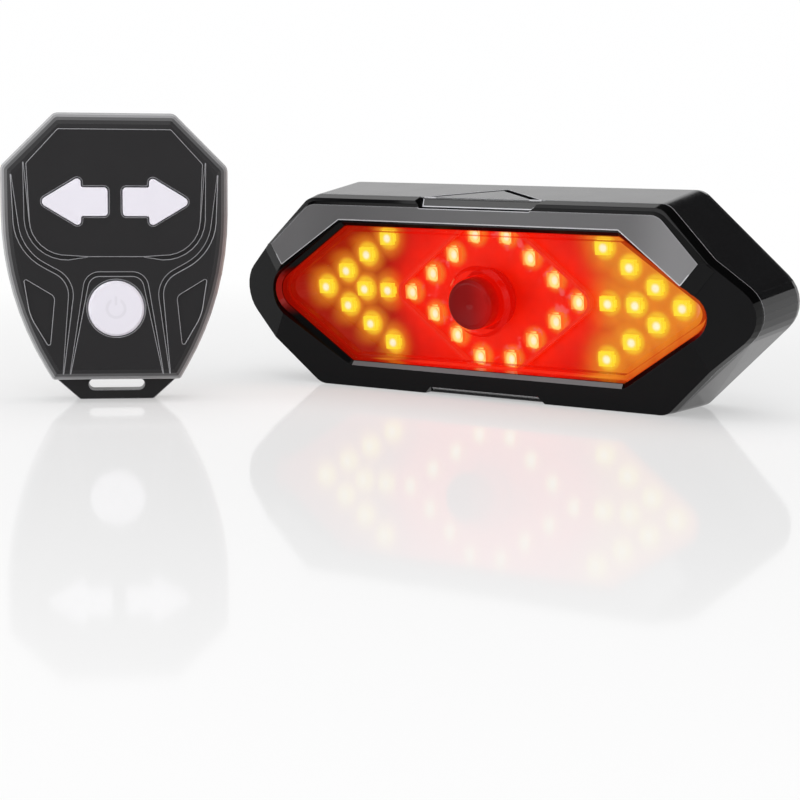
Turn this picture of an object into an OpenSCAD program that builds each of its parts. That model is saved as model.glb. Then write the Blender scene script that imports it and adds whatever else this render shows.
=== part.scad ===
// Bicycle turn signal light with its wireless handlebar remote.
// The light lies on its drafted underside, so its front leans forward by the draft angle.
// The remote stands on its strap tab, to the left of the light and nearer to the viewer.
// Both are drawn face on (x right, y up, z towards the viewer) and then placed on the floor.

/* [Light body] */
// Distance from the middle to a side tip of the rim, before rounding
rim_tip_x = 61.5; // [56:0.5:70]
// Half length of the straight top and bottom edges of the rim
rim_corner_x = 40.2; // [36:0.1:43]
// Half height of the rim
rim_half_h = 20; // [18:0.25:23]
// Rounding of the two side tips
rim_tip_r = 7; // [5:0.5:9]
// Rounding of the four corners
rim_corner_r = 4; // [3:0.5:6]
// Depth of the side walls behind the rim
side_depth = 14; // [13:0.5:20]
// Draft of the bottom wall, which is also how far the front leans forward
draft = 6.8; // [2:0.2:10]
// Draft of the top wall
top_draft = 2.4; // [1:0.2:8]
// Growth of each side tip from the rim to the back edge
tip_flare = 1; // [0:0.1:2]
// Depth of the rounded back edge
back_depth = 5; // [4:0.25:7]
// Height of the rounding on the back edge
back_inset = 5; // [3:0.25:5.5]
// Thickness of the side walls
wall = 1.6; // [1.4:0.1:2]
// Thickness of the back wall
floor_t = 2; // [1.6:0.1:3]
// Slope of the parting face, from the top and bottom edges forward to the middle
part_tilt = 10.5; // [6:0.5:12]
// Distance from a side tip in to the kink where it sweeps back
fold_in = 11.3; // [10.4:0.1:12.4]
// Angle by which the tips sweep back
fold_angle = 17.5; // [10:0.5:19]

/* [Bezel] */
// Thickness of the front panel, from the parting face
panel_t = 2.7; // [2.4:0.1:3]
// Draft of the bezel's outer edge
front_draft = 8.5; // [7:0.5:12]
// Height of the raised brow above the panel at its top edge
brow_rise = 0.6; // [0.4:0.1:1.2]
// Upward slope of the brow's face
brow_tilt = 14.5; // [12.5:0.5:16]
// Height at which the brow ends at its outer edge, as a share of the rim's half height
brow_out_share = 0.535; // [0.48:0.005:0.58]
// Height at which the brow ends at its window edge, as a share of the rim's half height
brow_in_share = 0.3; // [0.27:0.005:0.36]
// Width of the sloping step at each end of the brow
brow_ramp = 3; // [2.4:0.1:3.4]
// Width of the slope along the outer edge of the brow
brow_bevel = 0.8; // [0.4:0.1:1]
// Width of the panel strip left between the brow and the window
brow_gap = 1.3; // [1:0.1:1.6]
// Half width of the notches in the top and bottom edges, at the edge
notch_half_w = 13.9; // [10:0.1:18]
// Depth of the notches
notch_depth = 1.4; // [1:0.1:1.6]
// Distance from the rim back to the point of the scoop in the top
scoop_len = 9.7; // [6:0.1:11]
// Depth of the scoop
scoop_depth = 0.6; // [0.3:0.05:0.8]

/* [Window and lens] */
// Width of the frame at the side tips, before rounding
tip_band = 9.9; // [9:0.1:11]
// Distance from the rim's corners in to the window's corners
corner_band = 8.85; // [8:0.05:10]
// Height of the frame's bars above and below the window
bar_h = 5.9; // [5.5:0.05:6.8]
// Width of the sloping edge round the window
bevel_w = 0.9; // [0.6:0.05:1]
// Rounding of the window tips
window_tip_r = 4; // [3:0.25:5]
// Rounding of the window corners
window_corner_r = 1; // [0.6:0.1:2]
// Width of the lens flange behind the bezel lip
flange_w = 1.2; // [0.9:0.05:1.2]
// Thickness of the lens flange
flange_t = 0.8; // [0.6:0.1:1]
// Thickness of the seal between the flange and the lip
lens_seal_t = 0.4; // [0.3:0.05:0.6]
// Depth of the lens, from its flange to its face
lens_t = 3; // [2.6:0.05:3.2]
// Thickness of the lens face and of the skirt behind it
lens_face = 1.2; // [1:0.05:1.5]
// Slope width of the reflector walls along the slanted sides
reflector_slope = 2.8; // [1.5:0.1:3]
// Growth of the reflector's opening above and below the window
reflector_grow = 0.35; // [0.2:0.05:0.5]
// Depth of the reflector, from the lens to the board
reflector_depth = 3.2; // [3:0.1:4]

/* [Lamps] */
// Length of one lamp, over its terminals
led_l = 3.5; // [3:0.1:3.8]
// Width of one lamp
led_w = 2.8; // [2.2:0.1:3]
// Height of one lamp
led_h = 1.4; // [0.8:0.1:1.8]
// Distance from the window's tip in to the lamp at an arrow's tip
amber_in = 10.6; // [10:0.1:12]
// Sideways step between the lamps of an arrow's arms
amber_step_x = 5.4; // [4.6:0.1:5.6]
// Upward step between the lamps of an arrow's arms, as a share of the window's half height
amber_rise = 0.257; // [0.22:0.001:0.262]
// Distance from the lamp at an arrow's tip in to the first lamp of its shaft
shaft_in = 9.8; // [9:0.1:10.4]
// Step between the lamps of an arrow's shaft
shaft_step = 5.8; // [4.6:0.1:6]
// Distance from the lamp at an arrow's tip in to the red ring
red_in = 21.8; // [20.5:0.1:22.4]
// Distance from the middle to the top and bottom lamps of the red ring
red_top_x = 3.6; // [2.4:0.1:4.2]
// Height of the low frame round the red ring
divider_h = 1.6; // [1:0.1:2]
// Thickness of the low frame round the red ring
divider_t = 0.6; // [0.5:0.1:0.8]

/* [Power button] */
// Radius of the button
button_r = 5; // [4:0.25:6]
// Distance from the rim plane to the button's front
button_front_z = 7; // [5:0.25:8]
// Travel of the button
button_travel = 0.6; // [0.3:0.1:0.6]
// Height of the collar on the lens around the button
collar_h = 1; // [0.5:0.1:1.5]
// Width of the collar at its foot
collar_w = 1.9; // [1.6:0.1:2.4]

/* [Inside the light] */
// Thickness of the lamp board
board_t = 1.2; // [0.8:0.1:1.6]
// Length of the battery cell
cell_l = 50; // [30:1:52]
// Height of the battery cell
cell_h = 28; // [18:1:28]
// Thickness of the battery cell
cell_t = 8; // [4:0.5:8]
// Thickness of the foam pad under the cell
pad_t = 0.4; // [0.3:0.1:1]
// Gap between the battery cell and the charging board
port_gap = 3; // [2:0.25:3.5]
// Radius of the housing screws
screw_r = 1; // [0.8:0.05:1.1]
// Distance from the top and bottom edges in to the housing screws
boss_in = 6.5; // [6:0.1:7]

/* [Rear rail] */
// Width of the neck of the bracket rail
rail_neck = 12; // [9:0.5:14]
// Width of the undercut of the bracket rail
rail_slot = 16; // [14.5:0.5:18]
// Length of the bracket rail
rail_len = 22; // [16:0.5:24]
// Depth of the bracket rail behind the back wall
rail_depth = 6; // [5.5:0.25:8]
// Thickness of the rail's lips
rail_lip = 1.8; // [1.4:0.1:2.2]

/* [Remote body] */
// Half width of the remote
remote_half_w = 21.5; // [20:0.25:24]
// Height of the remote, with its strap tab
remote_h = 55.4; // [52:0.1:62]
// Height of the strap tab below the body
tab_h = 4.4; // [4.2:0.1:6]
// Half width of the strap tab at the floor
tab_half_w = 7.7; // [7.2:0.1:9]
// Thickness of the strap tab
tab_t = 4; // [3:0.25:4.4]
// Half length of the top edge
top_half_w = 11.3; // [10:0.1:13]
// Half width of the body where it meets the tab
foot_half_w = 12.2; // [11.5:0.1:13]
// Depth of the front shell
front_depth = 7; // [6.6:0.1:9]
// Height of the spring contact over the coin cell
spring_h = 0.6; // [0.4:0.1:1.6]
// Rounding of the front edge
front_r = 2.8; // [1.5:0.1:3.2]
// Rounding of the back edge
rear_r = 2.4; // [1.5:0.1:3]
// Wall thickness of the remote shells
remote_wall = 1.8; // [1.4:0.1:2]
// Length of the strap slot
slot_l = 10.8; // [8:0.1:12]
// Height of the strap slot
slot_h = 2.2; // [1.6:0.1:2.4]
// Direction that the remote faces, turned from the light's front
remote_turn = 42.6; // [0:0.1:60]
// Sideways place of the remote
remote_x = -57.3; // [-75:0.1:-40]
// Distance of the remote in front of the light's base centre
remote_y = -54.2; // [-90:0.1:-50]

/* [Remote face] */
// Width of the grooves on the face
groove_w = 0.8; // [0.4:0.05:1]
// Depth of the grooves and pockets on the face
groove_depth = 0.5; // [0.2:0.05:0.8]
// Rise of the upper panel above the face
panel_rise = 0.3; // [0.1:0.05:0.5]
// Distance of the arrow keys' middle below the upper panel's middle
arrow_drop = 1.6; // [0:0.1:2]
// Distance from the middle to an arrow's tip
arrow_tip = 14.5; // [13:0.1:14.8]
// Distance from the middle to the back of an arrow's head
arrow_neck = 6.4; // [6:0.1:7.5]
// Distance from the middle to the blunt end of an arrow
arrow_tail = 1.4; // [1.3:0.05:2]
// Half height of an arrow's head
arrow_head_h = 4.9; // [4:0.1:5.2]
// Half height of an arrow's shaft
arrow_shaft_h = 2.7; // [2:0.1:3]
// Height of the round key's middle above the strap tab
round_up = 14; // [13.2:0.1:14.6]
// Radius of the round key
round_r = 5.3; // [4.5:0.1:5.5]
// How far the keys stand above the face around them
key_rise = 0.6; // [0.3:0.05:1]
// Travel of the keys
key_travel = 0.8; // [0.4:0.05:0.9]

/* [Fits] */
// Gap round a moving key or button
key_gap = 0.25; // [0.15:0.05:0.35]
// Gap between fixed pieces that slide together
fit_gap = 0.15; // [0.05:0.05:0.2]
// Gap round a screw's thread
thread_gap = 0.05; // [0.02:0.01:0.1]

/* [Hidden] */

$fn = 64;
eps = 0.01;
far = 200;
corner_steps = 8;
edge_steps = 6;
least_r = 0.3;

// Window, kinks and lamps, worked out from the rim
window_tip_x = rim_tip_x - tip_band;
window_corner_x = rim_corner_x - corner_band;
window_half_h = rim_half_h - bar_h;
reflector_half_h = window_half_h + reflector_grow;
fold_x = rim_tip_x - fold_in;
brow_end_out = brow_out_share * rim_half_h;
brow_end_in = brow_in_share * rim_half_h;
lamp_gap = 0.4;
amber_tip_x = window_tip_x - amber_in;
amber_step_y = amber_rise * window_half_h;
shaft_x = amber_tip_x - shaft_in;
red_tip_x = amber_tip_x - red_in;
red_step_x = (red_tip_x - red_top_x) / 3;
red_step_y = (reflector_half_h - led_l / 2 - lamp_gap) / 3;

// Levels along the light's depth, from the rim plane towards the viewer
back_z = -(side_depth + back_depth);
floor_z = back_z + floor_t;
lip_z = flange_t + lens_seal_t;
board_z = -reflector_depth;
board_back_z = board_z - board_t;
part_rise = tan(part_tilt);
front_run = tan(front_draft);
brow_margin = 0.35;

// Bezel tongue, housing rim and seal
seal_t = 0.8;
seal_inset = wall / 2;
tongue_inset = wall + fit_gap;
tongue_t = 0.9;
tongue_depth = 2.5;
boss_r = 1.9;
boss_depth = 6;
head_r = 1.8;
head_h = 1.4;
pilot_tip = 0.6;
post_r = 1.8;
frame_t = 0.9;
frame_depth = 1;
post_x = window_corner_x - 0.35;
post_y = window_half_h - 2.1;
boss_y = rim_half_h - boss_in;
boss_overlap = 0.2;

// Parts on the back of the lamp board
chip_w = 8;
chip_h = 5;
chip_t = 1.2;
radio_w = 14;
radio_h = 9;
radio_t = 0.8;
can_w = 4;
can_t = 1;
parts_gap = 10;

// Power button and its switch
button_flange_w = 1.15;
button_flange_t = 0.8;
button_flange_gap = 0.2;
button_edge_r = 1;
button_dish_h = 0.5;
collar_taper = 0.8;
flange_back_z = -(button_flange_gap + button_flange_t);
switch_w = 6;
switch_top_z = flange_back_z - button_travel - 0.3;
plunger_r = 1.6;
plunger_in = 0.4;

// Charging port
usb_w = 9;
usb_h = 3.2;
usb_l = 7.3;
usb_wall = 0.4;
port_board_w = 12;
socket_x = cell_l / 2 + port_gap + port_board_w / 2;
port_board_t = 1;
port_board_l = 9;
flap_w = 12.6;
flap_h = 6.6;
flap_t = 1.2;
flap_gap = 0.3;
plug_l = 0.7;
plug_gap = 0.45;
anchor_w = 3;

// Remote levels
mat_z = 1;
mat_t = 0.8;
key_flange_w = 0.8;
key_flange_t = 0.8;
key_flange_gap = 0.2;
stem_r = 1.5;
collar_r = 3.2;
dome_r = 3;
dome_h = 0.5;
remote_board_t = 1.2;
remote_seal_t = 0.5;
remote_floor_t = 1.6;
skin_z = front_depth - remote_wall;
remote_screw_r = 0.9;
remote_boss_r = 2;
remote_boss_top = 4.4;
cell_r = 10;
cell_thick = 3.2;
contact_t = 0.4;
rear_depth = remote_floor_t + contact_t + cell_thick + spring_h + remote_board_t - mat_z;
panel_margin = 3;
panel_low_y = 0.51 * remote_h;
arrow_y = (remote_h - panel_margin + panel_low_y) / 2 - arrow_drop;
round_y = tab_h + round_up;
cell_y = arrow_y - cell_r * 0.6;

light_y = -(rim_half_h * sin(draft) + side_depth / cos(draft) / 2);
light_z = rim_half_h * cos(draft);

// Plane geometry
function unit(v) = v / norm(v);
function turned(v) = [-v[1], v[0]];
function flat(c) = [c[0], c[1]];
function at(list, i) = list[(i + len(list)) % len(list)];
function mirrored(list) = [for (i = [len(list) - 1:-1:0]) [-list[i][0], list[i][1], list[i][2]]];
function both_sides(right) = concat(right, mirrored(right));

// Moves every edge of a counterclockwise corner list inwards by d; each corner is [x, y, radius]
function inset(c, d) = [
  for (i = [0:len(c) - 1])
    let (
      e1 = unit(flat(c[i]) - flat(at(c, i - 1))),
      e2 = unit(flat(at(c, i + 1)) - flat(c[i])),
      n1 = turned(e1),
      n2 = turned(e2),
      m = (n1 + n2) / (1 + n1 * n2),
      convex = cross(e1, e2) > 0 ? 1 : -1
    )
    [c[i][0] + d * m[0], c[i][1] + d * m[1], max(c[i][2] - convex * d, least_r)]
];

// Points of a rounded corner at q, on the way from p to s
function fillet(p, q, s, r) =
  let (
    d1 = unit(p - q),
    d2 = unit(s - q),
    half = acos(d1 * d2) / 2,
    middle = q + unit(d1 + d2) * r / sin(half),
    v1 = q + d1 * r / tan(half) - middle,
    v2 = q + d2 * r / tan(half) - middle,
    sweep = 180 - 2 * half
  )
  [
    for (k = [0:corner_steps])
      middle + (v1 * sin(sweep * (1 - k / corner_steps)) + v2 * sin(sweep * k / corner_steps)) / sin(sweep)
  ];

function outline(c) = [
  for (i = [0:len(c) - 1])
    each fillet(flat(at(c, i - 1)), flat(c[i]), flat(at(c, i + 1)), c[i][2])
];

// An open path with rounded bends: its ends stay sharp
function path(c) = concat(
  [flat(c[0])],
  [for (i = [1:len(c) - 2]) each fillet(flat(c[i - 1]), flat(c[i]), flat(c[i + 1]), c[i][2])],
  [flat(c[len(c) - 1])]
);

// Sideways direction of a path at point i
function side(p, i) = turned(unit(p[min(i + 1, len(p) - 1)] - p[max(i - 1, 0)]));

// A band of width w along a path, drawn to a point at both ends
function band(p, w) = concat(
  [p[0]],
  [for (i = [1:len(p) - 2]) p[i] - side(p, i) * w / 2],
  [p[len(p) - 1]],
  [for (i = [len(p) - 2:-1:1]) p[i] + side(p, i) * w / 2]
);

function ring(c, z) = [for (p = outline(c)) [p[0], p[1], z]];

// A solid through rings of equally many points, from the lowest to the highest
module loft(rings) {
  n = len(rings[0]);
  last = len(rings) - 1;
  sides = [
    for (k = [0:last - 1], i = [0:n - 1])
      let (j = (i + 1) % n)
      each [
        [k * n + i, (k + 1) * n + i, (k + 1) * n + j],
        [k * n + i, (k + 1) * n + j, k * n + j]
      ]
  ];
  bottom = [for (i = [0:n - 1]) i];
  top = [for (i = [n - 1:-1:0]) last * n + i];
  polyhedron([for (r = rings) each r], concat([bottom], sides, [top]), convexity = 10);
}

module plate(c, z0, z1) {
  translate([0, 0, z0])
    linear_extrude(z1 - z0)
      polygon(outline(c));
}

module disc(r, z0, z1) {
  translate([0, 0, z0])
    cylinder(r = r, h = z1 - z0);
}

module block(w, h, z0, z1) {
  translate([-w / 2, -h / 2, z0])
    cube([w, h, z1 - z0]);
}

module at_corners(x, y) {
  for (sx = [-1, 1], sy = [-1, 1])
    translate([sx * x, sy * y, 0])
      children();
}

// A hexagon with points left and right, as a corner list
function hexagon(tip_x, corner_x, up, down, tip_r, corner_r) = [
  [tip_x, 0, tip_r], [corner_x, up, corner_r], [-corner_x, up, corner_r],
  [-tip_x, 0, tip_r], [-corner_x, -down, corner_r], [corner_x, -down, corner_r]
];

rear_up = rim_half_h + side_depth * tan(top_draft);
rear_down = rim_half_h + side_depth * tan(draft);
rim = hexagon(rim_tip_x, rim_corner_x, rim_half_h, rim_half_h, rim_tip_r, rim_corner_r);
rear_edge = hexagon(rim_tip_x + tip_flare, rim_corner_x, rear_up, rear_down, rim_tip_r, rim_corner_r);
window = hexagon(window_tip_x, window_corner_x, window_half_h, window_half_h, window_tip_r, window_corner_r);
window_run = (window_tip_x - window_corner_x) / window_half_h;
rim_run = (rim_tip_x - rim_corner_x) / rim_half_h;
boss_x = on_slope(rim_tip_x, rim_run, boss_overlap - boss_r - tongue_inset - tongue_t, boss_y);
inner_tip_x = window_tip_x - reflector_slope * sqrt(1 + window_run * window_run);
reflector_mouth = hexagon(inner_tip_x, inner_tip_x - window_run * reflector_half_h, reflector_half_h,
  reflector_half_h, window_tip_r - 1, window_corner_r);

// The low frame that keeps the red ring's light apart from the arrows' light
red_run = red_step_x / red_step_y;
lamp_reach = led_w / 2 * (1 + red_run) / sqrt(1 + red_run * red_run);
divider_tip_x = on_slope(red_tip_x, red_run, lamp_reach + lamp_gap + divider_t, 0);
divider_half_h = window_half_h + flange_w;
divider = hexagon(divider_tip_x, divider_tip_x - red_run * divider_half_h, divider_half_h, divider_half_h, 3, 1);

// Puts a face-on drawing of the light on the floor
module light_frame() {
  translate([0, light_y, light_z])
    rotate([90 + draft, 0, 0])
      children();
}

// Puts a face-on drawing of the remote on the floor
module remote_frame() {
  translate([remote_x, remote_y, 0])
    rotate([90, 0, remote_turn])
      children();
}

// Depth of the parting face at height y, above or below the middle
function part_z(y) = (rim_half_h + wall / 2 - y) * part_rise;

// All that lies behind the parting face, when that face is moved forward by z:
// it slopes forward from the top and bottom edges, and sweeps back beyond the kinks
module behind_parting(z, reach = far) {
  kink_y = rim_half_h * (rim_tip_x - fold_x) / (rim_tip_x - rim_corner_x);
  ridge_z = z + part_z(kink_y) + fold_x * tan(fold_angle);
  tip_z = ridge_z - reach * tan(fold_angle);
  top_z = z + part_z(reach);
  intersection() {
    translate([0, reach, 0])
      rotate([90, 0, 0])
        linear_extrude(2 * reach)
          polygon([[-reach, -reach], [reach, -reach], [reach, tip_z], [0, ridge_z], [-reach, tip_z]]);
    translate([-reach, 0, 0])
      rotate([90, 0, 90])
        linear_extrude(2 * reach)
          polygon([[-reach, -reach], [reach, -reach], [reach, top_z], [0, z + part_z(0)], [-reach, top_z]]);
  }
}

// The layer between two depths, measured from the parting face
module folded_slab(z0, z1) {
  difference() {
    behind_parting(z1);
    behind_parting(z0, 1.5 * far);
  }
}

// The outer form of the light, shared by the housing and the bezel
module skin() {
  front_z = panel_t + part_z(0) + 2;
  back_edge = [
    for (k = [0:edge_steps])
      let (a = 90 * k / edge_steps)
      ring(inset(rear_edge, back_inset * (1 - sin(a))), -(side_depth + back_depth * cos(a)))
  ];
  loft(concat(back_edge, [ring(rim, 0), ring(inset(rim, front_z * front_run), front_z)]));
}

// The hollow of the housing, open to the front
module hollow() {
  loft([
    ring(inset(rear_edge, back_inset + wall), floor_z),
    ring(inset(rear_edge, wall), -side_depth),
    ring(inset(rim, wall), 0),
    ring(inset(rim, wall), far)
  ]);
}

module rim_ring(from, to, z0, z1) {
  intersection() {
    difference() {
      plate(inset(rim, from), -side_depth, side_depth);
      plate(inset(rim, to), -side_depth - eps, side_depth + eps);
    }
    folded_slab(z0, z1);
  }
}

// Point on a slanted edge, at height y, of a hexagon that is drawn outwards by grow
function on_slope(tip_x, run, grow, y) = tip_x + grow * sqrt(1 + run * run) - run * y;

// Depth of the brow's face at height y
function brow_z(y) = panel_t + brow_rise + (rim_half_h - y) * tan(brow_tilt);

brow_edge = (panel_t + brow_rise) * front_run + brow_margin;
brow_outer = [on_slope(rim_tip_x, rim_run, -brow_edge, brow_end_out), brow_end_out];
brow_inner = [on_slope(window_tip_x, window_run, brow_gap, brow_end_in), brow_end_in];

// Outline of the raised plate, from the outer end on the right, over the top and back along the window
function brow_outline() =
  let (
    outer = inset(rim, brow_edge),
    inner = inset(window, -brow_gap),
    r = least_r
  )
  [
    [brow_outer[0], brow_outer[1], r], [outer[1][0], outer[1][1], rim_corner_r],
    [outer[2][0], outer[2][1], rim_corner_r], [-brow_outer[0], brow_outer[1], r],
    [-brow_inner[0], brow_inner[1], r], [inner[2][0], inner[2][1], r], [inner[1][0], inner[1][1], r],
    [brow_inner[0], brow_inner[1], r]
  ];

// Outline of the brow's outer edge, drawn in by d and run on down to the middle
function hood_outline(d) =
  let (
    outer = inset(rim, brow_edge + d),
    x = on_slope(rim_tip_x, rim_run, -brow_edge - d, 0)
  )
  [
    [x, 0, least_r], [outer[1][0], outer[1][1], rim_corner_r],
    [outer[2][0], outer[2][1], rim_corner_r], [-x, 0, least_r]
  ];

// The same outline laid on the brow's face, and sunk by depth
function hood_ring(d, depth) = [for (p = outline(hood_outline(d))) [p[0], p[1], brow_z(p[1]) - depth]];

// Sloping step from the right end of the brow down to the panel
module brow_step() {
  down = 1.4;
  out = [brow_outer[0], brow_outer[1], brow_z(brow_outer[1])];
  in = [brow_inner[0], brow_inner[1], brow_z(brow_inner[1])];
  away = turned(unit(flat(out) - flat(in)));
  run = [-brow_ramp * away[0], -brow_ramp * away[1], -down];
  top = [in, in + run, out + run, out];
  loft([[for (p = top) [p[0], p[1], 0]], top]);
}

// Raised plate across the upper half, with a sloped outer edge and a long step at each end
module brow_solid() {
  intersection() {
    skin();
    loft([ring(hood_outline(0), 0), hood_ring(0, brow_bevel), hood_ring(brow_bevel, 0)]);
    difference() {
      union() {
        plate(brow_outline(), 0, far);
        for (left = [0, 1])
          mirror([left, 0, 0])
            brow_step();
      }
      behind_parting(panel_t / 2);
    }
  }
}

// Trapezoid of the notches, from its floor to above the edge
module notch(gap) {
  floor_y = rim_half_h - panel_t * front_run - notch_depth + gap;
  slope = 1;
  polygon([
    [-notch_half_w + notch_depth * slope + gap, floor_y], [notch_half_w - notch_depth * slope - gap, floor_y],
    [notch_half_w + slope - gap, floor_y + notch_depth + 1], [-notch_half_w - slope + gap, floor_y + notch_depth + 1]
  ]);
}

module notches() {
  for (up = [0, 1])
    mirror([0, up, 0])
      linear_extrude(far)
        notch(0);
}

// Wedge on the housing that fills a notch and slopes back to the wall
module notch_wedge() {
  foot_y = rim_half_h - panel_t * front_run - notch_depth + fit_gap;
  top_y = rim_half_h - scoop_depth / 2;
  lip_y = rim_half_h - seal_inset + fit_gap;
  intersection() {
    translate([-far / 2, 0, 0])
      rotate([90, 0, 90])
        linear_extrude(far)
          polygon([
            [foot_y, part_z(foot_y)], [foot_y, panel_t], [top_y, 0], [top_y, -wall],
            [lip_y, -wall], [lip_y, part_z(lip_y)]
          ]);
    translate([0, 0, -wall - eps])
      linear_extrude(2 * wall + panel_t)
        notch(fit_gap);
  }
}

// Triangular scoop in the top wall, and the low ramp that stays in it
module scoop(half_w, len, depth) {
  translate([0, rim_half_h - depth, 0])
    rotate([90 - top_draft, 0, 0])
      mirror([0, 0, 1])
        linear_extrude(far)
          polygon([[-half_w, eps], [half_w, eps], [0, -len]]);
}

module front_bezel() {
  color("#151416")
    light_frame()
      difference() {
        union() {
          intersection() {
            skin();
            folded_slab(0, panel_t);
          }
          brow_solid();
          rim_ring(tongue_inset, tongue_inset + tongue_t, -tongue_depth, panel_t / 2);
          intersection() {
            union() {
              plate(inset(window, -flange_w - fit_gap - frame_t), -frame_depth, far);
              at_corners(boss_x, boss_y)
                disc(boss_r, -boss_depth, far);
            }
            behind_parting(panel_t / 2);
          }
        }
        plate(window, -far, far);
        loft([
          ring(inset(window, eps), lens_t - eps),
          ring(inset(window, -bevel_w), lens_t + bevel_w),
          ring(inset(window, -bevel_w), far)
        ]);
        plate(inset(window, -flange_w - fit_gap), -far, lip_z);
        notches();
        at_corners(boss_x, boss_y)
          disc(screw_r + thread_gap, -far, -pilot_tip);
      }
}

module lens() {
  hole_r = button_r + key_gap;
  color("red", 0.6)
    light_frame()
      difference() {
        union() {
          difference() {
            plate(inset(window, -flange_w), 0, flange_t);
            plate(inset(window, fit_gap + lens_face), -eps, far);
          }
          difference() {
            plate(inset(window, fit_gap), 0, lens_t);
            plate(inset(window, fit_gap + lens_face), -eps, lens_t - lens_face);
          }
          translate([0, 0, lens_t - eps])
            cylinder(r1 = hole_r + collar_w, r2 = hole_r + collar_w - collar_taper, h = collar_h + eps);
        }
        disc(hole_r, -eps, far);
      }
}

module lens_seal() {
  color("#202020")
    light_frame()
      difference() {
        plate(inset(window, -flange_w), flange_t, lip_z);
        plate(inset(window, -fit_gap), 0, far);
      }
}

// Turned cap with a rounded front edge, a shallow dish and a flange behind the lens
module power_button() {
  edge = [
    for (k = [0:edge_steps])
      let (a = 90 * k / edge_steps)
      [button_r - button_edge_r + button_edge_r * cos(a), button_front_z - button_edge_r + button_edge_r * sin(a)]
  ];
  color("darkred")
    light_frame()
      rotate_extrude()
        polygon(concat(
          [
            [0, flange_back_z], [button_r + button_flange_w, flange_back_z],
            [button_r + button_flange_w, -button_flange_gap], [button_r, -button_flange_gap]
          ],
          edge,
          [[0, button_front_z - button_dish_h]]
        ));
}

module switch_plunger() {
  color("black")
    light_frame()
      disc(plunger_r, switch_top_z - plunger_in, flange_back_z);
}

module button_switch() {
  color("dimgray")
    light_frame()
      difference() {
        block(switch_w, switch_w, board_z, switch_top_z);
        disc(plunger_r + key_gap, board_z - eps, far);
      }
}

module reflector() {
  color("mistyrose")
    light_frame() {
      difference() {
        plate(inset(window, -flange_w), board_z, 0);
        loft([
          ring(reflector_mouth, board_z - eps),
          ring(inset(window, fit_gap), eps)
        ]);
      }
      difference() {
        plate(divider, board_z, board_z + divider_h);
        plate(inset(divider, divider_t), board_z - eps, far);
      }
    }
}

module led_board() {
  color("white")
    light_frame()
      plate(inset(window, -flange_w + 2 * fit_gap), board_back_z, board_z);
}

// One lamp: a moulded body with a round light-emitting face and a terminal at each end
module led(along_x) {
  face_t = 0.15;
  terminal_w = led_w / 2;
  rotate([0, 0, along_x ? 0 : 90]) {
    block(led_w, led_w, board_z, board_z + led_h - face_t);
    block(led_l, terminal_w, board_z, board_z + led_h / 2);
    disc(led_w / 2 - face_t, board_z + led_h - face_t - eps, board_z + led_h);
  }
}

// Arrow of nine lamps that points along +x: a chevron and a short shaft
module led_arrow() {
  for (k = [0:3], sy = k == 0 ? [1] : [-1, 1])
    translate([amber_tip_x - k * amber_step_x, sy * k * amber_step_y, 0])
      led(true);
  for (k = [0:1])
    translate([shaft_x - k * shaft_step, 0, 0])
      led(true);
}

module amber_leds_right() {
  color("gold")
    light_frame()
      led_arrow();
}

module amber_leds_left() {
  color("gold")
    light_frame()
      mirror([1, 0, 0])
        led_arrow();
}

// Fourteen red lamps in a pointed ring round the button
module red_leds() {
  color("lemonchiffon")
    light_frame()
      for (k = [0:3], sx = [-1, 1], sy = k == 0 ? [1] : [-1, 1])
        translate([sx * (red_tip_x - k * red_step_x), sy * k * red_step_y, 0])
          led(false);
}

module control_chip() {
  color("#222222")
    light_frame()
      translate([-parts_gap, parts_gap / 2, 0])
        block(chip_w, chip_h, board_back_z - chip_t, board_back_z);
}

module radio_module() {
  color("seagreen")
    light_frame()
      translate([parts_gap, parts_gap / 2, 0]) {
        block(radio_w, radio_h, board_back_z - radio_t, board_back_z);
        block(can_w, can_w, board_back_z - radio_t - can_t, board_back_z - radio_t + eps);
      }
}

module battery_cell() {
  cell_edge = 2;
  body = [
    [cell_l / 2, -cell_h / 2, cell_edge], [cell_l / 2, cell_h / 2, cell_edge],
    [-cell_l / 2, cell_h / 2, cell_edge], [-cell_l / 2, -cell_h / 2, cell_edge]
  ];
  color("silver")
    light_frame()
      plate(body, floor_z + pad_t, floor_z + pad_t + cell_t);
}

module battery_pad() {
  color("gray")
    light_frame()
      block(cell_l - 4, cell_h - 4, floor_z, floor_z + pad_t);
}

module charge_board() {
  color("seagreen")
    light_frame()
      translate([socket_x, -usb_h / 2 - port_board_t / 2, 0])
        block(port_board_w, port_board_t, floor_z, floor_z + port_board_l);
}

// Metal shell of the socket, open to the back
module charge_socket() {
  socket_back = back_z + flap_t + plug_l;
  tongue_h = 0.7;
  color("silver")
    light_frame()
      translate([socket_x, 0, 0]) {
        difference() {
          block(usb_w, usb_h, socket_back, socket_back + usb_l);
          block(usb_w - 2 * usb_wall, usb_h - 2 * usb_wall, back_z - eps, socket_back + usb_l - usb_wall);
        }
        block(usb_w - 3, tongue_h, socket_back + 1, socket_back + usb_l - usb_wall + eps);
      }
}

// Rubber flap over the charging port, hinged at its outer end, with a short plug
module port_flap() {
  color("#2a2a2a")
    light_frame()
      translate([socket_x, 0, 0]) {
        block(flap_w, flap_h, back_z, back_z + flap_t);
        block(usb_w - 2 * usb_wall - 2 * plug_gap, usb_h - 2 * usb_wall - 2 * plug_gap,
          back_z + flap_t - eps, back_z + flap_t + plug_l);
      }
}

module flap_anchor() {
  color("#2a2a2a")
    light_frame()
      translate([socket_x + flap_w / 2 + flap_gap + anchor_w / 2, 0, 0])
        block(anchor_w, flap_h, back_z, back_z + flap_t);
}

module housing_seal() {
  color("#404040")
    light_frame()
      rim_ring(seal_inset + fit_gap / 2, wall, -seal_t, 0);
}

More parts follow.
